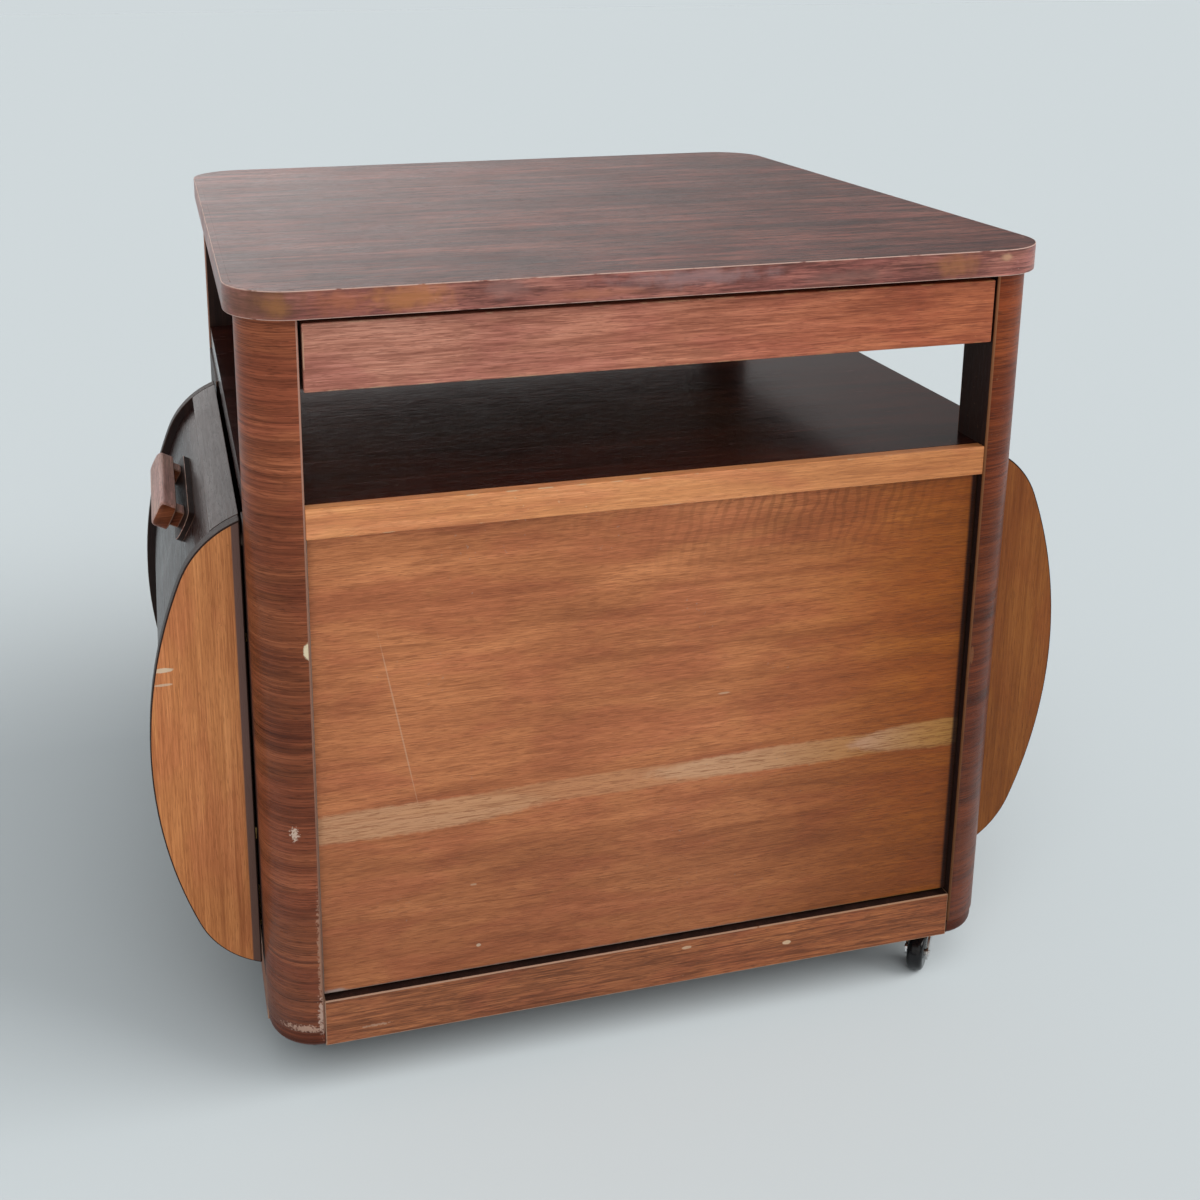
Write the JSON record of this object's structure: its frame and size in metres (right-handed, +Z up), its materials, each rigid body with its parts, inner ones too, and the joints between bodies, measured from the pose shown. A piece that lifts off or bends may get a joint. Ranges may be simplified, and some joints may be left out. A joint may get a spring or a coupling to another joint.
{
  "type": "bar cart",
  "caption": "Wooden bar cart on castors with quadrant corner posts, an open gallery under a shallow drawer, and bow-fronted bottle flaps on both sides.",
  "frame": {"origin": "on the floor under the middle of the top", "axes": "+X to the right seen from the front, +Y to the back, +Z up"},
  "size_m": [0.794, 0.625, 0.667],
  "materials": {
    "top_veneer": "dark red-brown veneer, polished and worn",
    "edge_band": "red-brown solid edge, rubbed pale on the arris",
    "post_wood": "cross-banded red-brown veneer, polished",
    "shelf_veneer": "dark red-brown veneer, glossy",
    "lipping_wood": "honey-coloured solid wood",
    "panel_wood": "orange-brown veneer, fine level grain",
    "rail_wood": "brown solid wood",
    "side_wood": "dark brown veneer",
    "inner_wood": "dark stained wood",
    "drawer_face_wood": "red-brown veneer, level grain",
    "drawer_box_wood": "pale plain wood",
    "flap_cheek_wood": "honey-brown veneer, upright grain",
    "flap_face_wood": "dark veneer, glossy",
    "handle_wood": "pinkish-brown solid wood",
    "brass": "aged brass",
    "buffer_rubber": "thin dark brown rubber pads",
    "castor_steel": "plated steel",
    "wheel_rubber": "black hard rubber"
  },
  "bodies": {
    "cabinet": {"top_board": "top_veneer", "top_edge_band": "edge_band", "post_front_left": "post_wood", "post_front_right": "post_wood", "post_back_left": "post_wood", "post_back_right": "post_wood", "shelf_board": "shelf_veneer", "shelf_lippings": "lipping_wood", "front_panel": "panel_wood", "back_panel": "panel_wood", "bottom_rail_front": "rail_wood", "bottom_rail_back": "rail_wood", "bottom_rail_left": "rail_wood", "bottom_rail_right": "rail_wood", "side_stile_left": "side_wood", "side_stile_right": "side_wood", "side_panel_left": "side_wood", "side_panel_right": "side_wood", "base_board": "inner_wood", "centre_partition": "inner_wood", "drawer_rail_left": "inner_wood", "drawer_rail_right": "inner_wood", "gallery_back_rail": "drawer_face_wood", "left_hinge_fixed": "brass", "right_hinge_fixed": "brass", "stay_keepers": "brass", "flap_buffers": "buffer_rubber", "castor_plates": "castor_steel"},
    "drawer": {"drawer_front": "drawer_face_wood", "drawer_side_left": "drawer_box_wood", "drawer_side_right": "drawer_box_wood", "drawer_back": "drawer_box_wood", "drawer_bottom": "drawer_box_wood"},
    "left_flap": {"left_flap_cheek_front": "flap_cheek_wood", "left_flap_cheek_back": "flap_cheek_wood", "left_flap_bow_front": "flap_face_wood", "left_flap_top_rail": "flap_face_wood", "left_flap_bottom_rail": "flap_face_wood", "left_flap_handle_plate": "handle_wood", "left_flap_handle_bar": "handle_wood", "left_flap_hinge_leaf": "brass", "left_flap_stays": "brass"},
    "right_flap": {"right_flap_cheek_front": "flap_cheek_wood", "right_flap_cheek_back": "flap_cheek_wood", "right_flap_bow_front": "flap_face_wood", "right_flap_top_rail": "flap_face_wood", "right_flap_bottom_rail": "flap_face_wood", "right_flap_handle_plate": "handle_wood", "right_flap_handle_bar": "handle_wood", "right_flap_hinge_leaf": "brass", "right_flap_stays": "brass"},
    "castor_front_left": {"castor_horn_front_left": "castor_steel"},
    "wheel_front_left": {"castor_wheel_front_left": "wheel_rubber"},
    "castor_front_right": {"castor_horn_front_right": "castor_steel"},
    "wheel_front_right": {"castor_wheel_front_right": "wheel_rubber"},
    "castor_back_left": {"castor_horn_back_left": "castor_steel"},
    "wheel_back_left": {"castor_wheel_back_left": "wheel_rubber"},
    "castor_back_right": {"castor_horn_back_right": "castor_steel"},
    "wheel_back_right": {"castor_wheel_back_right": "wheel_rubber"}
  },
  "joints": [
    {"name": "drawer_slide", "type": "slide", "parent": "cabinet", "child": "drawer", "axis": [0, -1, 0], "range_m": [0, 0.3]},
    {"name": "left_flap_fall", "type": "hinge", "parent": "cabinet", "child": "left_flap", "pos_m": [-0.32075, -0.0535, 0.08945], "axis": [0, -1, 0], "range_deg": [0, 90]},
    {"name": "right_flap_fall", "type": "hinge", "parent": "cabinet", "child": "right_flap", "pos_m": [0.32075, -0.0535, 0.08945], "axis": [0, 1, 0], "range_deg": [0, 90]},
    {"name": "front_left_swivel", "type": "hinge", "parent": "cabinet", "child": "castor_front_left", "pos_m": [-0.278, -0.2655, 0.038], "axis": [0, 0, 1], "continuous": true},
    {"name": "front_left_roll", "type": "hinge", "parent": "castor_front_left", "child": "wheel_front_left", "pos_m": [-0.27716, -0.24152, 0.017], "axis": [-0.9994, 0.0349, 0], "continuous": true},
    {"name": "front_right_swivel", "type": "hinge", "parent": "cabinet", "child": "castor_front_right", "pos_m": [0.278, -0.2655, 0.038], "axis": [0, 0, 1], "continuous": true},
    {"name": "front_right_roll", "type": "hinge", "parent": "castor_front_right", "child": "wheel_front_right", "pos_m": [0.26194, -0.28334, 0.017], "axis": [0.7431, -0.6691, 0], "continuous": true},
    {"name": "back_left_swivel", "type": "hinge", "parent": "cabinet", "child": "castor_back_left", "pos_m": [-0.278, 0.2655, 0.038], "axis": [0, 0, 1], "continuous": true},
    {"name": "back_left_roll", "type": "hinge", "parent": "castor_back_left", "child": "wheel_back_left", "pos_m": [-0.25834, 0.27927, 0.017], "axis": [-0.5736, 0.8192, 0], "continuous": true},
    {"name": "back_right_swivel", "type": "hinge", "parent": "cabinet", "child": "castor_back_right", "pos_m": [0.278, 0.2655, 0.038], "axis": [0, 0, 1], "continuous": true},
    {"name": "back_right_roll", "type": "hinge", "parent": "castor_back_right", "child": "wheel_back_right", "pos_m": [0.25545, 0.27371, 0.017], "axis": [-0.342, -0.9397, 0], "continuous": true}
  ]
}
